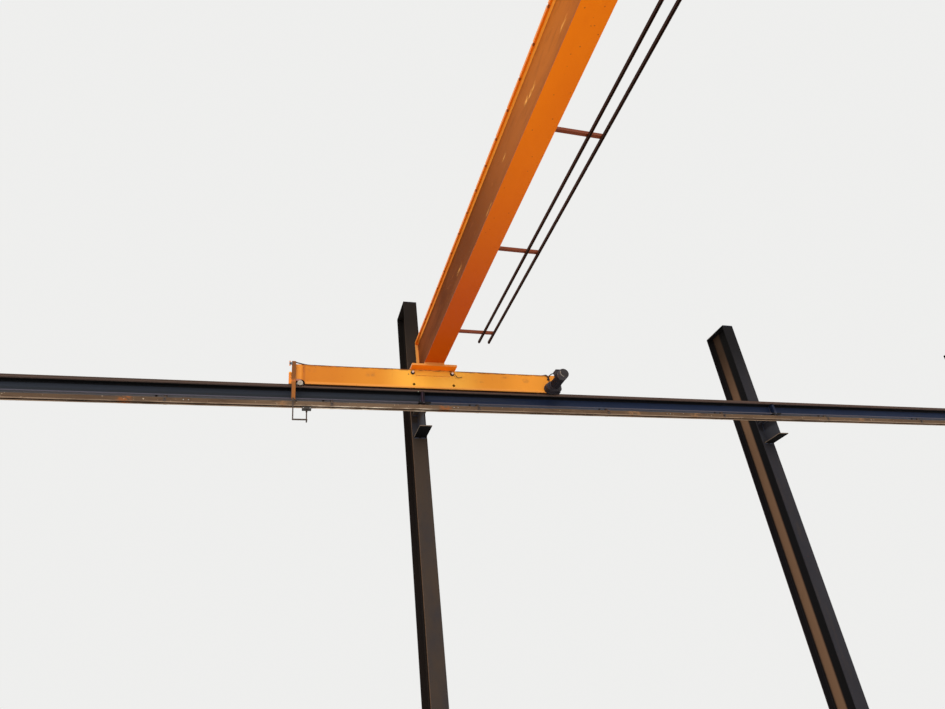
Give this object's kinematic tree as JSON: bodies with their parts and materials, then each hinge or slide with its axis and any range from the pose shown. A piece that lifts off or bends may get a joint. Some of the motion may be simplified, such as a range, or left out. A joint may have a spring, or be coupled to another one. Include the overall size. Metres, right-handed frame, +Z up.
{
  "type": "overhead bridge crane",
  "caption": "Single box girder bridge on motor-driven end carriages, rolling along corbel-carried runway beams between rows of steel columns, with a hoist below the girder.",
  "frame": {"origin": "on the floor, midway between the two runways and midway along them", "axes": "+X along the runways, +Y along the bridge towards the runway with the conductor line, +Z up"},
  "size_m": [18.44, 17.78, 8],
  "materials": {
    "column_paint": "dull dark blue-grey paint with brown dust",
    "beam_paint": "dull dark blue paint with brown dust",
    "rail_steel": "rusty steel with a worn running face",
    "crane_paint": "satin orange paint, dusty",
    "housing_metal": "dusty grey-brown sheet with rust spots",
    "hanger_metal": "dull dusty steel",
    "wheel_steel": "machined cast iron, greasy",
    "bright_steel": "bright worn steel",
    "rubber_black": "matt black rubber",
    "motor_paint": "dark grey paint, dusty",
    "collector_plastic": "dull dark plastic",
    "cable_rail_steel": "dark brown paint",
    "arm_paint": "dull red-orange paint",
    "hook_paint": "worn yellow paint"
  },
  "bodies": {
    "runway": {"column_wall_1": "column_paint", "column_wall_2": "column_paint", "column_wall_3": "column_paint", "column_wall_4": "column_paint", "column_far_1": "column_paint", "column_far_2": "column_paint", "column_far_3": "column_paint", "column_far_4": "column_paint", "corbels_wall": "column_paint", "corbels_far": "column_paint", "runway_beam_wall": "beam_paint", "runway_beam_far": "beam_paint", "rail_wall": "rail_steel", "rail_far": "rail_steel", "end_stops_wall": "crane_paint", "end_stops_far": "crane_paint", "conductor_line": "housing_metal", "conductor_hangers": "hanger_metal"},
    "bridge": {"girder_bottom_flange": "crane_paint", "girder_top_flange": "crane_paint", "girder_web_left": "crane_paint", "girder_web_right": "crane_paint", "girder_end_plates": "crane_paint", "girder_edge_strip": "crane_paint", "head_plate_wall": "crane_paint", "head_plate_far": "crane_paint", "end_carriage_wall": "crane_paint", "end_carriage_far": "crane_paint", "wheels_wall": "wheel_steel", "wheels_far": "wheel_steel", "guide_rollers": "bright_steel", "buffers": "rubber_black", "gear_cases": "motor_paint", "drive_motors": "motor_paint", "collector_post": "crane_paint", "collector_arm": "hanger_metal", "collector": "collector_plastic", "cable_rails": "cable_rail_steel", "cable_rail_arms": "arm_paint", "carriage_cables": "rubber_black", "trolley_frame": "crane_paint", "trolley_wheels": "wheel_steel", "hoist": "motor_paint", "hoist_ropes": "bright_steel", "hook_block": "hook_paint"}
  },
  "joints": [
    {"name": "bridge_travel", "type": "slide", "parent": "runway", "child": "bridge", "axis": [1, 0, 0], "range_m": [-4.05, 9.73]}
  ]
}
